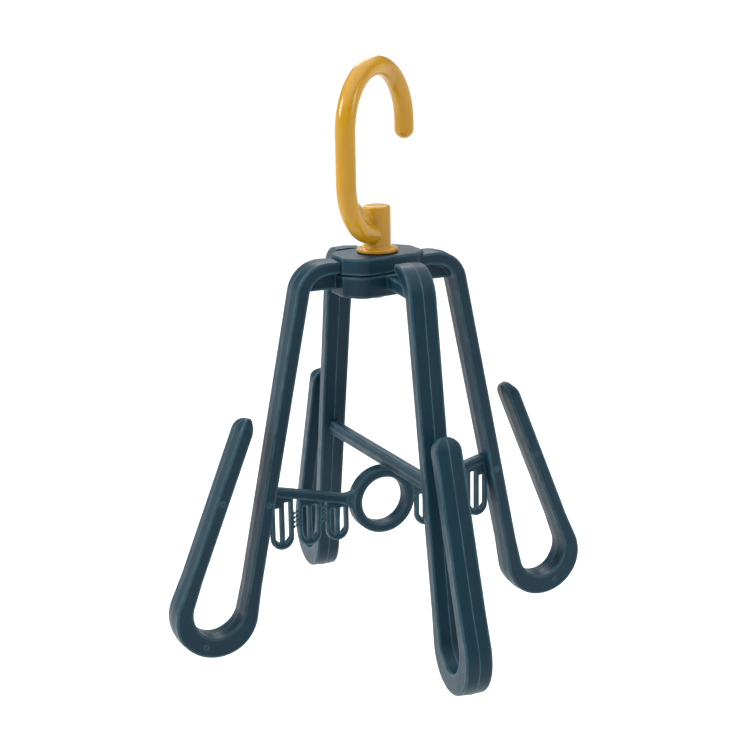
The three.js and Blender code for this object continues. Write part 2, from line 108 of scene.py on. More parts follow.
# Arms
ROOT_TOP_U = 23
ROOT_Z = -6
ARM_RISE = math.radians(1.73)
ARM_CORNER_U = 44.1
ARM_BEND_R = 14.93
LEG_LEAN = math.radians(11.53)
ARM_THICK = 8.2
LEG_THICK = 8.6
LEG_TOP_WIDTH = 15
LEG_FOOT_WIDTH = 14
FOOT_BEND_R = 19.15
FOOT_CENTRE_Z = -190.3
FOOT_THICK = 12.5
FOOT_START_SWELL = 0.35
FOOT_SWELL = 0.9
SWELL_RUN = 16
PRONG_THICK = 8.5
PRONG_WIDTH = 14.9
PRONG_LEAN = math.radians(22.1)
PRONG_LENGTH = 107.6
TIP_LENGTH = 8
TIP_SWEEP = 86
TIP_LEG_TAPER = 0.3
TIP_OUTER_TAPER = 1.1
UPPER_OFFSET = -0.9
LOWER_OFFSET = 7.4
LOWER_AZIMUTH = -95.7
TONGUE_DEPTH = 7
TONGUE_DROP = 1
TONGUE_NARROWER = 0.4
TONGUE_EDGE = 0.6
UPPER_ROOT_THICK = 7.4
LOWER_ROOT_U = 27.2
LOWER_ROOT_THICK = 5.4
ROOT_STEPS = 3  # the root swells to full thickness over these steps of the bend
WEB_THICK = 3
WEB_OVERLAP = 1.5
WEB_EDGE = 0.3
WEB_INNER_U = 28
UPPER_WEB_Z = -18
BLEND = 3  # how far a moulded arm or bar runs on into its neighbour

# Moulding detail on arms and bars
EDGE_ROUND = 0.95
FACE_CROWN = 0.35  # each wide face falls away from its middle by this much
SEAM_HEIGHT = 0.15
SEAM_HALF_WIDTH = 0.28
PIN_MARK_R = 1.6
PIN_MARK_SUNK = 0.3
PIN_MARK_SHOULDER = 0.04
PIN_MARK_RIM = 0.1
PIN_MARK_FLOOR = 0.03
PIN_MARK_STEPS = (0.15, 0.35, 0.5)  # in from its radius: the rim's start and end, and the floor
LEG_MARK_DROP = 6
LEG_MARK_STAND = 0.05
FOOT_MARK_ALONG = 5 / 9
PRONG_MARK_ALONG = 0.56
BAR_MARK_OUT = 1.8
SKIN = 0.05  # keeps the finer curves inside the part's own box

# Crossbars
RING_Z = -141.3
RING_OUTER = 19.1
RING_INNER = 13.4
RING_DEPTH = 8
RING_EDGE = 0.9
RING_OVERLAP = 1.5
BAR_HEIGHT = 5.4
BAR_DEPTH = 5
BAR_EDGE = 0.8
BAR_BLEND = BLEND * 0.8
BAR_LEG_Z = -126.2
BAR_RING_Z = -138.6
BAR_FILLET_OVER = 6
BAR_FILLET_UNDER = 9
FILLET_HEIGHT = 0.8
FILLET_POWER = 1.3
LOWER_BAR_Z = -115.9
LOWER_BAR_HEIGHT = 8.2
LOWER_BAR_DEPTH = 6.4
LOWER_BAR_CROWN = 0.6

# Clip fingers
FINGER_CENTRES = (60.6, 44.2, 27.5)
FINGER_TEETH = ((-1,), (-1, 1), (1,))
FINGER_WIDTH = 13.4
FINGER_BOTTOM = -161.3
FINGER_THICK = 2.6
FINGER_EDGE = 0.4
FINGER_OVERLAP = 1
LEG_OVERLAP = 0.5
SLOT_WIDTH = 2.9
SLOT_CEILING = 1.5
TRIMMED_SLOT_CEILING = 4.3
SLOT_FOOT_CURVE = 0.8
SLOT_ROUNDS = (0.5, 0.4, 1.0)  # at the ceiling, and at the foot by the rib and by the strip
RIB_WIDTH = 2.6
STRIP_WIDTH = 2.5
TOOTH_PITCH = 2.6
TOOTH_HEIGHT = 1.25
TOOTH_TOP = -139.8
TOOTH_COUNT = 4
TOOTH_INSET = 0.1
TOOTH_TIP_HALF = 0.15

# Screw and washer
WASHER_R = 8
WASHER_EDGE = 0.25
SCREW_HEAD_R = 3.6
SCREW_DOME_R = 5.6
SCREW_DOME_END = 303
SCREW_RIM = 0.75
SCREW_RIM_EDGE = 0.15
SCREW_SHANK_R = 1.4
SCREW_POINT = 0.6
SCREW_SIDES = 60  # puts no line of the head on a corner of the cross
CROSS_LENGTH = 4.2
CROSS_WIDTH = 0.9
CROSS_DEPTH = 1.1
CROSS_TAPER = 0.7
CROSS_RUNOUT = 1
CROSS_STAGGER = 0.05  # one slot is this much shallower, so that the two share no face

# Finishes
PLASTIC_DARK = (0.0036, 0.0222, 0.0375)
PLASTIC_LIGHT = (0.0054, 0.0285, 0.0465)
# The frame's edge colour is a painted highlight: a pale line laid along its rims.
PLASTIC_EDGE_HIGHLIGHT = (0.070, 0.160, 0.200)
HOOK_DARK = (0.375, 0.186, 0.0030)
HOOK_LIGHT = (0.490, 0.256, 0.0075)
HOOK_WORN = (0.70, 0.42, 0.05)
STEEL_DULL = (0.42, 0.43, 0.45)
STEEL_BRIGHT = (0.62, 0.63, 0.64)
STEEL_WORN = (0.82, 0.82, 0.83)
FLOOR_DARK = (0.80, 0.80, 0.80)
FLOOR_LIGHT = (0.82, 0.82, 0.82)

# Camera and stage
CAMERA_TURN = math.radians(24.73)
CAMERA_ELEVATION = math.radians(15)
CAMERA_ROLL = math.radians(0.98)
CAMERA_DISTANCE = 0.9026
CAMERA_LENS = 79.9
AIM_SIDE = -0.0013
AIM_DROP = 0.067
FLOOR_DROP = 0.13
FLOOR_SIZE = 30
# The studio's brightness at each height, which is the sine of the elevation
STUDIO_LIGHT = ((0.0, 0.95), (0.07, 0.95), (0.24, 0.22), (0.42, 0.22), (0.85, 2.1))
# Name, azimuth and elevation in degrees, distance and size in metres, and power in watts
LIGHTS = (("key", -104, 32, 1.4, 0.45, 13), ("fill", 48, 22, 1.6, 0.5, 4.5),
          ("rim", 160, 35, 1.4, 0.6, 4.5))


# ------------------------------------------------------------------ curves and profiles

def arc(cu, cz, radius, start, end, count):
    """Points on an arc, angles in degrees."""
    turns = [math.radians(start + (end - start) * i / count) for i in range(count + 1)]
    return [(cu + radius * math.cos(t), cz + radius * math.sin(t)) for t in turns]


def rounded(corners, steps=6):
    """An outline whose corners, given as (x, y, radius), are rounded off."""
    points = []
    for i, (x, y, radius) in enumerate(corners):
        here = Vector((x, y))
        before = Vector(corners[i - 1][:2]) - here
        after = Vector(corners[(i + 1) % len(corners)][:2]) - here
        if radius == 0:
            points.append((x, y))
            continue
        half = before.angle(after) / 2
        reach = min(radius / math.tan(half), before.length * 0.49, after.length * 0.49)
        radius = reach * math.tan(half)
        middle = here + (before.normalized() + after.normalized()).normalized() * radius / math.sin(half)
        first = (here + before.normalized() * reach) - middle
        last = (here + after.normalized() * reach) - middle
        sweep = first.angle_signed(last)
        for step in range(steps + 1):
            spoke = Matrix.Rotation(-sweep * step / steps, 2) @ first
            points.append(tuple(middle + spoke))
    return points


def signed_area(points):
    pairs = zip(points, points[1:] + points[:1])
    return sum(a[0] * b[1] - b[0] * a[1] for a, b in pairs) / 2


def inset(points, distance):
    """The outline moved inwards; a negative distance moves it outwards."""
    side = 1 if signed_area(points) > 0 else -1
    shifted = []
    for i, here in enumerate(points):
        a = (Vector(here) - Vector(points[i - 1])).normalized()
        b = (Vector(points[(i + 1) % len(points)]) - Vector(here)).normalized()
        na, nb = Vector((-a.y, a.x)) * side, Vector((-b.y, b.x)) * side
        mitre = (na + nb) / max(1 + na.dot(nb), 0.35)
        shifted.append(tuple(Vector(here) + mitre * distance))
    return shifted


# ------------------------------------------------------------------ solids, in millimetres

def bridge(bm, lower, upper):
    count = len(lower)
    for i in range(count):
        j = (i + 1) % count
        bm.faces.new((lower[i], lower[j], upper[j], upper[i]))


def outward(bm):
    bmesh.ops.recalc_face_normals(bm, faces=bm.faces)
    if bm.calc_volume(signed=True) < 0:
        bmesh.ops.reverse_faces(bm, faces=bm.faces)
    return bm


def loft(rings):
    """A closed body through equal rings of points."""
    bm = bmesh.new()
    loops = [[bm.verts.new(p) for p in ring] for ring in rings]
    for lower, upper in zip(loops, loops[1:]):
        bridge(bm, lower, upper)
    bm.faces.new(loops[0])
    bm.faces.new(loops[-1])
    return outward(bm)


def lathe(profile, sides=96):
    """A body of revolution about Z from (radius, z) points; it may start and end on the axis."""
    bm = bmesh.new()
    loops = []
    for radius, z in profile:
        if radius < 1e-6:
            loops.append([bm.verts.new((0, 0, z))])
            continue
        turns = [2 * math.pi * i / sides for i in range(sides)]
        loops.append([bm.verts.new((radius * math.cos(t), radius * math.sin(t), z)) for t in turns])
    closed = len(loops[0]) > 1
    pairs = list(zip(loops, loops[1:])) + ([(loops[-1], loops[0])] if closed else [])
    for lower, upper in pairs:
        if len(lower) > 1 and len(upper) > 1:
            bridge(bm, lower, upper)
            continue
        rim, tip = (upper, lower[0]) if len(lower) == 1 else (lower, upper[0])
        for i in range(sides):
            bm.faces.new((rim[i], rim[(i + 1) % sides], tip))
    return outward(bm)


def plate(outline, thick, edge=0.0, holes=(), steps=3):
    """An extruded outline with rounded rims, thick along local y about y = 0."""
    bm = bmesh.new()
    turns = [math.pi / 2 * i / steps for i in range(steps + 1)] if edge else [math.pi / 2]
    rims = [(edge * (1 - math.sin(t)), thick / 2 - edge * (1 - math.cos(t))) for t in turns]
    levels = rims + [(back, -y) for back, y in reversed(rims)]
    ends = ([], [])
    for points, sign in [(outline, 1)] + [(hole, -1) for hole in holes]:
        loops = []
        for back, y in levels:
            rim = inset(points, sign * back) if back else points
            loops.append([bm.verts.new((x, y, z)) for x, z in rim])
        for lower, upper in zip(loops, loops[1:]):
            bridge(bm, lower, upper)
        for end, loop in zip(ends, (loops[0], loops[-1])):
            end.extend(bm.edges.get((loop[i], loop[i - 1])) for i in range(len(loop)))
    for end in ends:
        bmesh.ops.triangle_fill(bm, use_beauty=True, edges=end)
    return outward(bm)


def turned(bm, degrees):
    bmesh.ops.rotate(bm, verts=bm.verts, matrix=Matrix.Rotation(math.radians(degrees), 3, "Z"))
    return bm


def moved(bm, x=0.0, y=0.0, z=0.0):
    bmesh.ops.translate(bm, verts=bm.verts, vec=(x, y, z))
    return bm


def laid_flat(bm):
    """A plate drawn in the (x, z) plane, laid in the (x, y) plane."""
    bmesh.ops.rotate(bm, verts=bm.verts, matrix=Matrix.Rotation(-math.pi / 2, 3, "X"))
    bmesh.ops.scale(bm, verts=bm.verts, vec=(1, -1, 1))
    bmesh.ops.reverse_faces(bm, faces=bm.faces)
    return outward(bm)


# ------------------------------------------------------------------ objects

def new_object(name, bm):
    mesh = bpy.data.meshes.new(name)
    bm.to_mesh(mesh)
    bm.free()
    obj = bpy.data.objects.new(name, mesh)
    bpy.context.scene.collection.objects.link(obj)
    return obj


def bake_modifiers(obj):
    evaluated = obj.evaluated_get(bpy.context.evaluated_depsgraph_get())
    mesh = bpy.data.meshes.new_from_object(evaluated)
    obj.modifiers.clear()
    old = obj.data
    obj.data = mesh
    bpy.data.meshes.remove(old)


def combine(obj, tool_bm, operation):
    tool = new_object("tool", tool_bm)
    modifier = obj.modifiers.new("combine", "BOOLEAN")
    modifier.operation = operation
    modifier.solver = "MANIFOLD"
    modifier.object = tool
    bake_modifiers(obj)
    bpy.data.objects.remove(tool)


def build(name, solids, cuts=()):
    """One object from solids joined together, less the cuts."""
    obj = new_object(name, solids[0])
    for bm in solids[1:]:
        combine(obj, bm, "UNION")
    for bm in cuts:
        combine(obj, bm, "DIFFERENCE")
    return obj


def shade(obj, sharp_angle=38):
    obj.data.polygons.foreach_set("use_smooth", [True] * len(obj.data.polygons))
    obj.data.set_sharp_from_angle(angle=math.radians(sharp_angle))
    weighted = obj.modifiers.new("even_shading", "WEIGHTED_NORMAL")
    weighted.keep_sharp = True


def install(obj, node, body, azimuth, material):
    """Puts a finished object in place of its CAD node."""
    turn = Matrix.Rotation(math.radians(azimuth), 4, "Z")
    obj.data.transform(Matrix.Translation((0, 0, HUB_TOP)) @ turn @ Matrix.Scale(MM, 4))
    obj.data.materials.clear()
    obj.data.materials.append(material)
    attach(obj, body)
    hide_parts(node)


# ------------------------------------------------------------------ materials

class Nodes:
    """A short way to write one material's node tree."""

    def __init__(self, name):
        self.material = bpy.data.materials.new(name)
        self.material.use_nodes = True
        self.tree = self.material.node_tree
        self.shader = self.tree.nodes["Principled BSDF"]
        self.coords = self.add("ShaderNodeTexCoord").outputs["Object"]

    def add(self, kind, **values):
        node = self.tree.nodes.new(kind)
        for key, value in values.items():
            setattr(node, key, value)
        return node

    def link(self, source, target):
        self.tree.links.new(source, target)

    def noise(self, scale, detail=3.0, roughness=0.5, stretch=(1, 1, 1)):
        mapping = self.add("ShaderNodeMapping")
        mapping.inputs["Scale"].default_value = stretch
        self.link(self.coords, mapping.inputs["Vector"])
        noise = self.add("ShaderNodeTexNoise")
        noise.inputs["Scale"].default_value = scale
        noise.inputs["Detail"].default_value = detail
        noise.inputs["Roughness"].default_value = roughness
        self.link(mapping.outputs["Vector"], noise.inputs["Vector"])
        return noise.outputs["Fac"]

    def spread(self, value, low, high, to_low, to_high):
        node = self.add("ShaderNodeMapRange")
        node.inputs["From Min"].default_value = low
        node.inputs["From Max"].default_value = high
        node.inputs["To Min"].default_value = to_low
        node.inputs["To Max"].default_value = to_high
        self.link(value, node.inputs["Value"])
        return node.outputs["Result"]

    def maths(self, operation, a, b):
        node = self.add("ShaderNodeMath", operation=operation)
        for socket, value in zip(node.inputs, (a, b)):
            if isinstance(value, (int, float)):
                socket.default_value = value
            else:
                self.link(value, socket)
        return node.outputs["Value"]

    def mixed(self, factor, first, second):
        node = self.add("ShaderNodeMix", data_type="RGBA")
        self.link(factor, node.inputs[0])
        for socket, value in ((node.inputs[6], first), (node.inputs[7], second)):
            if isinstance(value, tuple):
                socket.default_value = (*value, 1)
            else:
                self.link(value, socket)
        return node.outputs[2]

    def edges(self, reach, low, high):
        """1 along edges, where the surface turns within reach, broken up so that the pale edge colour is
        uneven; on the frame this lays a painted highlight along the rims.
        """
        softened = self.add("ShaderNodeBevel", samples=6)
        softened.inputs["Radius"].default_value = reach
        agree = self.add("ShaderNodeVectorMath", operation="DOT_PRODUCT")
        self.link(softened.outputs["Normal"], agree.inputs[0])
        self.link(self.add("ShaderNodeNewGeometry").outputs["Normal"], agree.inputs[1])
        turning = self.maths("SUBTRACT", 1.0, agree.outputs["Value"])
        paler_edge = self.spread(turning, low, high, 0, 1)
        patchy = self.spread(self.noise(140, 4), 0.35, 0.65, 0.5, 1)
        return self.maths("MULTIPLY", paler_edge, patchy)

    def bump(self, layers):
        """Layers of (height, strength, distance) laid one on another."""
        last = None
        for height, strength, distance in layers:
            node = self.add("ShaderNodeBump")
            node.inputs["Strength"].default_value = strength
            node.inputs["Distance"].default_value = distance
            self.link(height, node.inputs["Height"])
            if last:
                self.link(last, node.inputs["Normal"])
            last = node.outputs["Normal"]
        self.link(last, self.shader.inputs["Normal"])


def frame_plastic(name, dark, light, edge):
    """Satin polypropylene: cloudy pigment, a fine mould grain, faint rubs, and a painted highlight along
    its edges.
    """
    m = Nodes(name)
    cloud = m.spread(m.noise(38, 4, 0.6), 0.3, 0.7, 0, 1)
    flow = m.spread(m.noise(60, 3, 0.5, (1, 1, 0.12)), 0.3, 0.7, 0, 1)
    tone = m.maths("MULTIPLY", m.maths("ADD", cloud, flow), 0.5)
    body = m.mixed(tone, dark, light)
    # Painted highlight: a paler colour laid along the rims, where the edges would catch the light.
    paler_edge = m.maths("MULTIPLY", m.edges(reach=0.0022, low=0.004, high=0.04), 0.8)
    m.link(m.mixed(paler_edge, body, edge), m.shader.inputs["Base Color"])
    rubs = m.spread(m.noise(420, 4, 0.6, (1, 1, 0.25)), 0.35, 0.75, -0.05, 0.07)
    rough = m.spread(m.noise(90, 4), 0.3, 0.7, 0.36, 0.45)
    m.link(m.maths("ADD", rough, rubs), m.shader.inputs["Roughness"])
    m.shader.inputs["Specular IOR Level"].default_value = 0.17
    m.bump([(m.noise(2600, 2), 0.10, 0.00012), (m.noise(55, 2), 0.12, 0.0004)])
    return m.material


def hook_plastic():
    """Gloss plastic with soft streaks in its pigment and a few handling marks."""
    m = Nodes("hook_plastic")
    cloud = m.spread(m.noise(45, 3, 0.5, (1, 1, 0.35)), 0.3, 0.7, 0, 1)
    body = m.mixed(cloud, HOOK_DARK, HOOK_LIGHT)
    paler_edge = m.maths("MULTIPLY", m.edges(reach=0.0010, low=0.02, high=0.15), 0.25)
    m.link(m.mixed(paler_edge, body, HOOK_WORN), m.shader.inputs["Base Color"])
    marks = m.spread(m.noise(700, 5, 0.65), 0.58, 0.8, 0, 0.10)
    rough = m.spread(m.noise(110, 3), 0.3, 0.7, 0.16, 0.22)
    m.link(m.maths("ADD", rough, marks), m.shader.inputs["Roughness"])
    m.shader.inputs["Specular IOR Level"].default_value = 0.42
    m.bump([(m.noise(300, 2), 0.03, 0.0002), (m.noise(60, 2), 0.10, 0.0005)])
    return m.material


def zinc_steel():
    """Bright plated steel with turning marks, dull patches and rubbed edges."""
    m = Nodes("zinc_steel")
    patch = m.spread(m.noise(500, 4, 0.6), 0.35, 0.65, 0, 1)
    body = m.mixed(patch, STEEL_DULL, STEEL_BRIGHT)
    paler_edge = m.maths("MULTIPLY", m.edges(reach=0.0004, low=0.01, high=0.12), 0.5)
    m.link(m.mixed(paler_edge, body, STEEL_WORN), m.shader.inputs["Base Color"])
    m.link(m.spread(m.noise(800, 4), 0.3, 0.7, 0.22, 0.42), m.shader.inputs["Roughness"])
    m.shader.inputs["Metallic"].default_value = 1.0
    m.bump([(m.noise(3000, 2, 0.5, (1, 1, 4)), 0.15, 0.0001)])
    return m.material


# ------------------------------------------------------------------ hook and pivot

def rod_centre_line():
    """(u, z) points and tangents from the tip over the arch and down into the boss."""
    bend_z = ROD_ENTRY + LOWER_BEND_R
    line = [(ARCH_R, ARCH_Z - TIP_DROP)]
    line += arc(0, ARCH_Z, ARCH_R, 0, 180, 120)
    line += [(-ARCH_R, bend_z + (ARCH_Z - bend_z) * (1 - i / 8)) for i in range(1, 8)]
    line += arc(LOWER_BEND_R - ARCH_R, bend_z, LOWER_BEND_R, 180, 270, 32)
    line.append((0, ROD_ENTRY))
    return line


def round_ring(u, z, angle, radius, sides=40):
    """A circle across the centre line at (u, z), which runs in the direction of angle."""
    ring = []
    for i in range(sides):
        turn = 2 * math.pi * i / sides
        out = radius * math.cos(turn)
        side = radius * math.sin(turn)
        ring.append((u - out * math.sin(angle), side, z + out * math.cos(angle)))
    return ring


def rod():
    line = rod_centre_line()
    rings = []
    tip_steps = 10
    for i in range(1, tip_steps):
        lift = math.radians(90 * (1 - i / tip_steps))
        z = line[0][1] - ROD_R * math.sin(lift)
        rings.append(round_ring(line[0][0], z, math.pi / 2, ROD_R * math.cos(lift)))
    for i, (u, z) in enumerate(line):
        before = line[max(i - 1, 0)]
        after = line[min(i + 1, len(line) - 1)]
        angle = math.atan2(after[1] - before[1], after[0] - before[0])
        rings.append(round_ring(u, z, angle, ROD_R - SKIN))
    return loft(rings)


def gusset():
    bend_u = LOWER_BEND_R - ARCH_R
    bend_z = ROD_ENTRY + LOWER_BEND_R
    under_rod = arc(bend_u, bend_z, LOWER_BEND_R - GUSSET_OVERLAP, *GUSSET_ARC, 16)
    outline = under_rod + [(0, ROD_ENTRY), (0, GUSSET_LOW - GUSSET_DIP), (-BOSS_R, GUSSET_LOW)]
    return plate(outline, GUSSET_THICK, GUSSET_EDGE)


def boss():
    under = FLANGE_UNDER_ROUND
    profile = [(0, STEM_FOOT), (STEM_R - STEM_CHAMFER, STEM_FOOT), (STEM_R, STEM_FOOT + STEM_CHAMFER)]
    profile += [(STEM_R, GAP)]
    profile += arc(FLANGE_R - under, GAP + under, under, -90, 0, 4)
    top = FLANGE_THICK - FLANGE_ROUND
    profile += arc(FLANGE_R - FLANGE_ROUND, top, FLANGE_ROUND, 10, 90, 5)
    foot = BOSS_FOOT_ROUND
    profile += arc(BOSS_R + foot, FLANGE_THICK + foot, foot, 270, 180, 6)
    profile += arc(BOSS_R - BOSS_ROUND, BOSS_HEIGHT - BOSS_ROUND, BOSS_ROUND, 0, 90, 8)
    profile += [(0, BOSS_HEIGHT)]
    return lathe(profile)


def make_hook():
    """Rod, gusset and boss run together into one moulding with soft inside corners."""
    obj = build("hook_moulding", [boss(), rod(), gusset()])
    remesh = obj.modifiers.new("melt", "REMESH")
    remesh.mode = "VOXEL"
    remesh.voxel_size = HOOK_VOXEL
    remesh.use_smooth_shade = True
    soften = obj.modifiers.new("soften", "SMOOTH")
    soften.factor = 0.5
    soften.iterations = HOOK_SMOOTHING
    bake_modifiers(obj)
    return obj


def make_washer():
    inner = SCREW_SHANK_R + GAP
    flat_r = WASHER_R - WASHER_EDGE
    profile = [(inner, WASHER_FOOT), (flat_r, WASHER_FOOT), (WASHER_R, WASHER_FOOT + WASHER_EDGE)]
    profile += [(WASHER_R, WASHER_TOP - WASHER_EDGE), (flat_r, WASHER_TOP), (inner, WASHER_TOP)]
    obj = new_object("retaining_washer_plate", lathe(profile, 72))
    shade(obj)
    return obj


def make_screw():
    seat = WASHER_FOOT - GAP
    rim_edge = SCREW_HEAD_R - SCREW_RIM_EDGE
    head = arc(0, SCREW_FOOT + SCREW_DOME_R, SCREW_DOME_R, 270, SCREW_DOME_END, 6)
    head += [(SCREW_HEAD_R, seat - SCREW_RIM), (SCREW_HEAD_R, seat - SCREW_RIM_EDGE), (rim_edge, seat)]
    top = (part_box("pivot_screw")[1].z - HUB_TOP) / MM
    shank = [(SCREW_SHANK_R, seat), (SCREW_SHANK_R, top - SCREW_POINT), (0, top)]
    mouth = CROSS_LENGTH / 2
    floor = mouth - CROSS_TAPER
    slot_shape = [(-mouth, -CROSS_RUNOUT), (mouth, -CROSS_RUNOUT)]
    slot_shape += [(floor, CROSS_DEPTH), (-floor, CROSS_DEPTH)]
    cuts = [moved(turned(plate(slot_shape, CROSS_WIDTH), turn), z=SCREW_FOOT - drop)
            for turn, drop in ((0, 0), (90, CROSS_STAGGER))]
    obj = build("pivot_screw_head", [lathe(head + shank, SCREW_SIDES)], cuts)
    shade(obj, 30)
    return obj


# ------------------------------------------------------------------ arms

def arm_bend():
    """Where the arm's straight root ends, and the middle of the bend after it."""
    turn = math.pi / 2 - LEG_LEAN + ARM_RISE
    corner_z = ROOT_Z + (ARM_CORNER_U - ROOT_TOP_U) * math.tan(ARM_RISE)
    back = ARM_BEND_R * math.tan(turn / 2)
    start = (ARM_CORNER_U - back * math.cos(ARM_RISE), corner_z - back * math.sin(ARM_RISE))
    centre = (start[0] + ARM_BEND_R * math.sin(ARM_RISE), start[1] - ARM_BEND_R * math.cos(ARM_RISE))
    return turn, start, centre


def leg_u(z):
    """Middle of a leg at a height."""
    _, _, centre = arm_bend()
    top_u = centre[0] + ARM_BEND_R * math.cos(LEG_LEAN)
    top_z = centre[1] + ARM_BEND_R * math.sin(LEG_LEAN)
    return top_u + (top_z - z) * math.tan(LEG_LEAN)


def leg_face(z):
    """The inner face of a leg at a height."""
    return leg_u(z) - LEG_THICK / 2 / math.cos(LEG_LEAN)


def section(u, z, angle, inside, outside, width):
    return {"u": u, "z": z, "angle": angle, "inside": inside, "outside": outside, "width": width}


def bend_sections(root_u, root_thick, steps=24):
    turn, start, centre = arm_bend()
    root_half = ARM_THICK / 2
    up = math.pi / 2 + ARM_RISE
    root_z = start[1] - (start[0] - root_u) * math.tan(ARM_RISE)
    sections = [section(root_u, root_z, up, root_thick - root_half, root_half, LEG_TOP_WIDTH)]
    for i in range(steps + 1):
        angle = up - turn * i / steps
        half = (ARM_THICK + (LEG_THICK - ARM_THICK) * i / steps) / 2
        inside = half - (half - root_thick / 2) * max(0, 1 - i / ROOT_STEPS)
        u = centre[0] + ARM_BEND_R * math.cos(angle)
        z = centre[1] + ARM_BEND_R * math.sin(angle)
        sections.append(section(u, z, angle, inside, half, LEG_TOP_WIDTH))
    return sections


def foot_sections(steps=48):
    """The upturned foot, which swells in thickness towards its lowest point."""
    foot_z = FOOT_CENTRE_Z - FOOT_BEND_R * math.sin(LEG_LEAN)
    centre_u = leg_u(foot_z) + FOOT_BEND_R * math.cos(LEG_LEAN)
    sweep = math.pi - LEG_LEAN + PRONG_LEAN
    swell_z = foot_z + SWELL_RUN
    sections = [section(leg_u(swell_z), swell_z, LEG_LEAN, LEG_THICK / 2, LEG_THICK / 2, LEG_FOOT_WIDTH)]
    for i in range(steps + 1):
        along = i / steps
        angle = math.pi + LEG_LEAN + sweep * along
        plain = LEG_THICK + (PRONG_THICK - LEG_THICK) * along
        swell = min(1, FOOT_START_SWELL + FOOT_SWELL * math.sin(math.pi * along))
        half = (plain + (FOOT_THICK - plain) * swell) / 2
        width = LEG_FOOT_WIDTH + (PRONG_WIDTH - LEG_FOOT_WIDTH) * along
        u = centre_u + FOOT_BEND_R * math.cos(angle)
        z = FOOT_CENTRE_Z + FOOT_BEND_R * math.sin(angle)
        sections.append(section(u, z, angle + math.pi, half, half, width))
    return sections


def prong_sections(start, steps=12):
    """The prong ends round when seen from outside, and its outer face curves in at the tip."""
    half = PRONG_THICK / 2
    u = start["u"] - math.sin(PRONG_LEAN) * SWELL_RUN
    z = start["z"] + math.cos(PRONG_LEAN) * SWELL_RUN
    sections = [section(u, z, start["angle"], half, half, PRONG_WIDTH)]
    for i in range(steps + 1):
        along = math.sin(math.radians(TIP_SWEEP * i / steps))
        shrink = math.sqrt(1 - along * along)
        reach = PRONG_LENGTH - TIP_LENGTH + TIP_LENGTH * along
        u = start["u"] - math.sin(PRONG_LEAN) * reach
        z = start["z"] + math.cos(PRONG_LEAN) * reach
        leg_side = half * (1 - TIP_LEG_TAPER * along * along)
        outer_side = half * (1 - TIP_OUTER_TAPER * (1 - shrink))
        sections.append(section(u, z, start["angle"], outer_side, leg_side, PRONG_WIDTH * shrink))
    return sections


def crowned_profile(inside, outside, width, crown=FACE_CROWN):
    """(out, y) points: rounded corners, and two wide faces that fall from a fine mould seam."""
    half = width / 2
    small = min(1, half / 4)
    radius = min(EDGE_ROUND, half * 0.5, (inside + outside) * 0.3)
    seam, crown = SEAM_HEIGHT * small, crown * small
    seam_half = SEAM_HALF_WIDTH * small
    outer, inner = outside - seam - crown, inside - seam - crown
    flat = half - radius
    points = [(outer, -flat), (outside - seam, -seam_half), (outside, 0), (outside - seam, seam_half)]
    points += [(outer - radius + p[0], flat + p[1]) for p in arc(0, 0, radius, 0, 90, 5)]
    points += [(radius - inner + p[0], flat + p[1]) for p in arc(0, 0, radius, 90, 180, 5)]
    points += [(seam - inside, seam_half), (-inside, 0), (seam - inside, -seam_half)]
    points += [(radius - inner + p[0], -flat + p[1]) for p in arc(0, 0, radius, 180, 270, 5)]
    points += [(outer - radius + p[0], -flat + p[1]) for p in arc(0, 0, radius, 270, 360, 5)[:-1]]
    return points


def section_ring(s, offset):
    across = crowned_profile(s["inside"] - SKIN, s["outside"] - SKIN, s["width"])
    c, d = math.cos(s["angle"]), math.sin(s["angle"])
    return [(s["u"] + c * out, y + offset, s["z"] + d * out) for out, y in across]


def web(foot, offset):
    """The thin web that fills the inner corner of the bend."""
    _, _, centre = arm_bend()
    radius = ARM_BEND_R - LEG_THICK / 2 + WEB_OVERLAP
    level = max(foot, centre[1])
    lowest = math.degrees(math.asin((level - centre[1]) / radius))
    curve = arc(centre[0], centre[1], radius, lowest, 90, 12)
    outline = [(WEB_INNER_U - BLEND, foot)] + curve + [(WEB_INNER_U - BLEND, centre[1] + radius)]
    return moved(plate(outline, WEB_THICK, WEB_EDGE), y=offset)


def pin_mark(u, z, y):
    """The faint raised ring that an ejector pin leaves, standing on a face at y."""
    side = 1 if y > 0 else -1
    start, end, floor = [PIN_MARK_R - step for step in PIN_MARK_STEPS]
    profile = [(0, -PIN_MARK_SUNK), (PIN_MARK_R, -PIN_MARK_SUNK), (PIN_MARK_R, PIN_MARK_SHOULDER)]
    profile += [(start, PIN_MARK_RIM), (end, PIN_MARK_RIM), (floor, PIN_MARK_FLOOR), (0, PIN_MARK_FLOOR)]
    bm = lathe(profile, 40)
    bmesh.ops.rotate(bm, verts=bm.verts, matrix=Matrix.Rotation(-side * math.pi / 2, 3, "X"))
    return moved(bm, u, y, z)


def arm_marks(offset, foot):
    """Pin marks on both flanks: on the leg, the lowest part of the foot and the prong."""
    marks = []
    lowest = foot[int(len(foot) * FOOT_MARK_ALONG)]
    prong_u = foot[-1]["u"] - math.sin(PRONG_LEAN) * PRONG_LENGTH * PRONG_MARK_ALONG
    prong_z = foot[-1]["z"] + math.cos(PRONG_LEAN) * PRONG_LENGTH * PRONG_MARK_ALONG
    leg_z = BAR_LEG_Z - LEG_MARK_DROP
    leg_half = (LEG_TOP_WIDTH + LEG_FOOT_WIDTH) / 4 + LEG_MARK_STAND
    for side in (-1, 1):
        marks.append(pin_mark(leg_u(leg_z), leg_z, side * leg_half))
        marks.append(pin_mark(lowest["u"], lowest["z"], side * lowest["width"] / 2))
        marks.append(pin_mark(prong_u, prong_z, side * PRONG_WIDTH / 2))
    return [moved(mark, y=offset) for mark in marks]


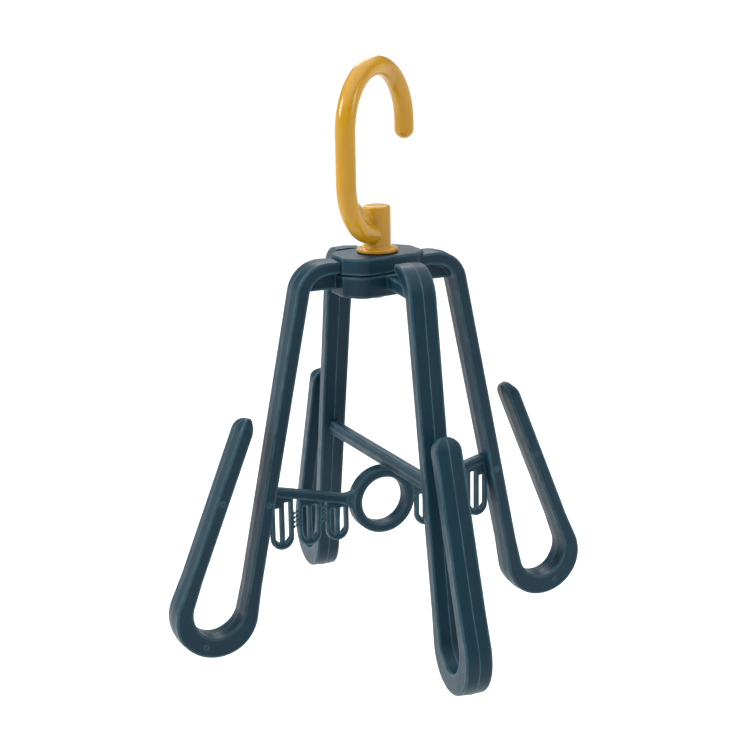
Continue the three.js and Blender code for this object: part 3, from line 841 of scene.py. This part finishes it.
def make_arm(name, root_u, root_thick, offset, web_foot):
    foot = foot_sections()
    prong = prong_sections(foot[-1])
    sections = bend_sections(root_u, root_thick) + foot + prong
    band = loft([section_ring(s, offset) for s in sections])
    obj = build(name, [band, web(web_foot, offset)] + arm_marks(offset, foot))
    shade(obj)
    return obj


# ------------------------------------------------------------------ hubs

def hub_plate(thick, top):
    half = LEG_TOP_WIDTH / 2
    corners = [(HUB_END, UPPER_OFFSET + side, HUB_END_ROUND) for side in (-half, half)]
    corners += [(*corner, HUB_CORNER_ROUND) for corner in (HUB_FRONT, HUB_BACK)]
    corners += [(-x, -y, radius) for x, y, radius in corners]
    bore = arc(0, 0, BORE_R, 0, 360, 48)[:-1]
    slab = laid_flat(plate(rounded(corners), thick, HUB_EDGE_ROUND, [bore], 5))
    return moved(slab, z=top - thick / 2)


def tongue():
    """The tongue under a lower arm, ending on the inner side of its leg."""
    _, _, centre = arm_bend()
    radius = ARM_BEND_R - LEG_THICK / 2 - GAP
    top = LOWER_HUB_TOP - TONGUE_DROP
    foot = top - TONGUE_DEPTH
    ends = [math.degrees(math.asin((z - centre[1]) / radius)) for z in (foot, top)]
    curve = arc(centre[0], centre[1], radius, ends[0], ends[1], 12)
    outline = [(HUB_END / 2, foot)] + curve + [(HUB_END / 2, top)]
    return moved(plate(outline, LEG_TOP_WIDTH - TONGUE_NARROWER, TONGUE_EDGE), y=LOWER_OFFSET)


def make_upper_hub():
    obj = new_object("upper_hub_plate", hub_plate(-UPPER_HUB_FOOT, 0))
    shade(obj)
    return obj


def make_lower_hub():
    """Unfolded, this hub lies flush under the upper one, so its outline is turned back."""
    slab = turned(hub_plate(LOWER_HUB_TOP - LOWER_HUB_FOOT, LOWER_HUB_TOP), -LOWER_AZIMUTH)
    obj = build("lower_hub_plate", [slab, tongue(), turned(tongue(), 180)])
    shade(obj)
    return obj


# ------------------------------------------------------------------ crossbars

def bar_z(u):
    """Middle of the ring crossbar's bar, which falls from the leg to the ring."""
    slope = (BAR_LEG_Z - BAR_RING_Z) / (leg_u(BAR_LEG_Z) - RING_OUTER)
    return BAR_RING_Z + (u - RING_OUTER) * slope


def ring_body():
    half = RING_DEPTH / 2
    square = [(RING_INNER, -half), (RING_OUTER, -half), (RING_OUTER, half), (RING_INNER, half)]
    bm = lathe(rounded([(*corner, RING_EDGE) for corner in square], 4), 144)
    bmesh.ops.rotate(bm, verts=bm.verts, matrix=Matrix.Rotation(math.pi / 2, 3, "X"))
    return moved(bm, z=RING_Z)


def flared_bar():
    """One side's bar, widening in curves where it meets the ring."""
    half = BAR_HEIGHT / 2

    def edge(side, reach):
        inner = RING_INNER + RING_OVERLAP
        steps = 10
        points = []
        for i in range(steps + 1):
            u = inner + (RING_OUTER + reach - inner) * i / steps
            fade = 1 - math.sin(math.pi / 2 * i / steps)
            spread = reach * FILLET_HEIGHT * fade ** FILLET_POWER
            points.append((u, bar_z(u) + side * (half + spread)))
        return points

    upper, lower = edge(1, BAR_FILLET_OVER), edge(-1, BAR_FILLET_UNDER)
    end = [leg_face(BAR_LEG_Z + side * half) + BAR_BLEND for side in (-1, 1)]
    tail = [(end[0], bar_z(end[0]) - half), (end[1], bar_z(end[1]) + half)]
    return plate(lower + tail + upper[::-1], BAR_DEPTH, BAR_EDGE)


def make_ring_crossbar():
    mark_u = RING_OUTER + BAR_MARK_OUT
    marks = [pin_mark(side * mark_u, bar_z(mark_u), -BAR_DEPTH / 2) for side in (1, -1)]
    bars = [flared_bar(), turned(flared_bar(), 180)]
    obj = build("ring_crossbar_moulding", [ring_body()] + bars + marks)
    shade(obj)
    return obj


def make_lower_crossbar():
    reach = leg_face(LOWER_BAR_Z)
    skew = math.degrees(math.atan2(LOWER_OFFSET, reach))
    half_length = (reach + BAR_BLEND) / math.cos(math.radians(skew))
    half = LOWER_BAR_DEPTH / 2
    across = crowned_profile(half, half, LOWER_BAR_HEIGHT, LOWER_BAR_CROWN)
    rings = [[(u, out, LOWER_BAR_Z + up) for out, up in across] for u in (-half_length, half_length)]
    obj = new_object("lower_crossbar_bar", turned(loft(rings), skew))
    shade(obj)
    return obj


# ------------------------------------------------------------------ clip fingers

def tooth_points(side, u):
    points = []
    for i in range(TOOTH_COUNT):
        z = TOOTH_TOP - i * TOOTH_PITCH
        tip_u = u + side * TOOTH_HEIGHT
        tip_z = z - TOOTH_PITCH / 2
        points += [(u, z - TOOTH_INSET), (tip_u, tip_z + TOOTH_TIP_HALF)]
        points += [(tip_u, tip_z - TOOTH_TIP_HALF), (u, z - TOOTH_PITCH + TOOTH_INSET)]
    return points


def finger_slot(centre, side, ceiling):
    """A slot beside the middle rib, with a foot that follows the finger's round end."""
    round_z = FINGER_BOTTOM + FINGER_WIDTH / 2
    inner = FINGER_WIDTH / 2 - STRIP_WIDTH
    near = RIB_WIDTH / 2
    far = near + SLOT_WIDTH
    drops = [math.sqrt(max(inner ** 2 - reach ** 2, 0)) for reach in (near, far)]
    foot = [round_z - SLOT_FOOT_CURVE * drop for drop in drops]
    top, by_rib, by_strip = SLOT_ROUNDS
    corners = [(near, ceiling, top), (near, foot[0], by_rib), (far, foot[1], by_strip), (far, ceiling, top)]
    return rounded([(centre + side * reach, z, radius) for reach, z, radius in corners], 4)


def make_finger(name, centre, tooth_sides):
    half = FINGER_WIDTH / 2
    left, right = centre - half, centre + half

    def top(u):
        return bar_z(u) - BAR_HEIGHT / 2

    shoulder = min(right, leg_face(top(right)) + LEG_OVERLAP)
    outline = [(left, top(left) + FINGER_OVERLAP)]
    if -1 in tooth_sides:
        outline += tooth_points(-1, left)
    outline += arc(centre, FINGER_BOTTOM + half, half, 180, 360, 28)
    if 1 in tooth_sides:
        outline += tooth_points(1, right)[::-1]
    trimmed = shoulder < right
    if trimmed:
        outline.append((right, top(right) - (right - shoulder) / math.tan(LEG_LEAN)))
    outline.append((shoulder, top(shoulder) + FINGER_OVERLAP))
    drops = (SLOT_CEILING, TRIMMED_SLOT_CEILING if trimmed else SLOT_CEILING)
    slots = [finger_slot(centre, side, top(left) - drop) for side, drop in zip((-1, 1), drops)]
    obj = new_object(name, plate(outline, FINGER_THICK, FINGER_EDGE, slots))
    shade(obj)
    return obj


# ------------------------------------------------------------------ stage

def make_camera():
    forward = Vector((math.sin(CAMERA_TURN) * math.cos(CAMERA_ELEVATION),
                      math.cos(CAMERA_TURN) * math.cos(CAMERA_ELEVATION),
                      -math.sin(CAMERA_ELEVATION)))
    level = forward.cross(Vector((0, 0, 1))).normalized()
    upright = level.cross(forward)
    right = level * math.cos(CAMERA_ROLL) - upright * math.sin(CAMERA_ROLL)
    up = level * math.sin(CAMERA_ROLL) + upright * math.cos(CAMERA_ROLL)
    place = Vector((0, 0, HUB_TOP)) + right * AIM_SIDE - up * AIM_DROP - forward * CAMERA_DISTANCE
    data = bpy.data.cameras.new("camera")
    data.lens = CAMERA_LENS
    data.sensor_width = 36
    camera = bpy.data.objects.new("camera", data)
    bpy.context.scene.collection.objects.link(camera)
    turn = Matrix((right, up, -forward)).transposed().to_4x4()
    camera.matrix_world = Matrix.Translation(place) @ turn
    bpy.context.scene.camera = camera


def make_light(name, azimuth, elevation, distance, size, power):
    """A soft square light aimed at the object. Azimuth 0 is in front, along -Y, and 90 at +X."""
    centre = (cad_box[0] + cad_box[1]) / 2
    a, e = math.radians(azimuth), math.radians(elevation)
    away = Vector((math.sin(a) * math.cos(e), -math.cos(a) * math.cos(e), math.sin(e)))
    data = bpy.data.lights.new(name, "AREA")
    data.size = size
    data.energy = power
    light = bpy.data.objects.new(name, data)
    light.location = centre + away * distance
    light.rotation_euler = (-away).to_track_quat("-Z", "Y").to_euler()
    bpy.context.scene.collection.objects.link(light)


def make_world():
    """A studio that is bright overhead and low down, and dimmer at the height between."""
    world = bpy.data.worlds.new("studio")
    world.use_nodes = True
    tree = world.node_tree
    direction = tree.nodes.new("ShaderNodeTexCoord").outputs["Generated"]
    split = tree.nodes.new("ShaderNodeSeparateXYZ")
    tree.links.new(direction, split.inputs["Vector"])
    ramp = tree.nodes.new("ShaderNodeValToRGB")
    ramp.color_ramp.interpolation = "EASE"
    brightest = max(strength for _, strength in STUDIO_LIGHT)
    for i, (height, strength) in enumerate(STUDIO_LIGHT):
        stops = ramp.color_ramp.elements
        stop = stops[i] if i < 2 else stops.new(height)
        stop.position = height
        stop.color = (strength / brightest,) * 3 + (1,)
    tree.links.new(split.outputs["Z"], ramp.inputs["Fac"])
    tree.links.new(ramp.outputs["Color"], tree.nodes["Background"].inputs["Color"])
    tree.nodes["Background"].inputs["Strength"].default_value = brightest
    bpy.context.scene.world = world


def make_stage():
    low, _ = cad_box
    bm = bmesh.new()
    bmesh.ops.create_grid(bm, x_segments=4, y_segments=4, size=FLOOR_SIZE)
    floor = new_object("floor", moved(bm, z=low.z - FLOOR_DROP))
    m = Nodes("floor_paint")
    tone = m.spread(m.noise(1.5, 3), 0.3, 0.7, 0, 1)
    m.link(m.mixed(tone, FLOOR_DARK, FLOOR_LIGHT), m.shader.inputs["Base Color"])
    m.shader.inputs["Roughness"].default_value = 0.9
    m.shader.inputs["Specular IOR Level"].default_value = 0.1
    floor.data.materials.append(m.material)
    for light in LIGHTS:
        make_light(*light)
    make_world()
    bpy.context.scene.view_settings.view_transform = "Standard"


# ------------------------------------------------------------------ assembly

def make_hook_body():
    install(make_hook(), "hook", "hook", HOOK_AZIMUTH, hook_plastic())
    steel = zinc_steel()
    install(make_washer(), "retaining_washer", "hook", HOOK_AZIMUTH, steel)
    install(make_screw(), "pivot_screw", "hook", HOOK_AZIMUTH, steel)


def make_upper_frame(plastic):
    def fit(obj, node, turn=0):
        install(obj, node, "upper_frame", turn, plastic)

    fit(make_upper_hub(), "upper_hub")
    fit(make_ring_crossbar(), "ring_crossbar")
    for side, turn in (("right", 0), ("left", 180)):
        node = f"upper_arm_{side}"
        root_u = HUB_END - BLEND
        arm = make_arm(f"{node}_band", root_u, UPPER_ROOT_THICK, UPPER_OFFSET, UPPER_WEB_Z)
        fit(arm, node, turn)
        for number, (centre, teeth) in enumerate(zip(FINGER_CENTRES, FINGER_TEETH), 1):
            node = f"clip_finger_{side}_{number}"
            fit(make_finger(f"{node}_loop", centre, teeth), node, turn)


def make_lower_frame(plastic):
    def fit(obj, node, turn=0):
        install(obj, node, "lower_frame", LOWER_AZIMUTH + turn, plastic)

    fit(make_lower_hub(), "lower_hub")
    fit(make_lower_crossbar(), "lower_crossbar")
    web_foot = LOWER_HUB_TOP - TONGUE_DROP
    for side, turn in (("front", 0), ("back", 180)):
        node = f"lower_arm_{side}"
        arm = make_arm(f"{node}_band", LOWER_ROOT_U, LOWER_ROOT_THICK, LOWER_OFFSET, web_foot)
        fit(arm, node, turn)


make_camera()
make_stage()
make_hook_body()
frame_blue = frame_plastic("frame_plastic", PLASTIC_DARK, PLASTIC_LIGHT, PLASTIC_EDGE_HIGHLIGHT)
make_upper_frame(frame_blue)
make_lower_frame(frame_blue)
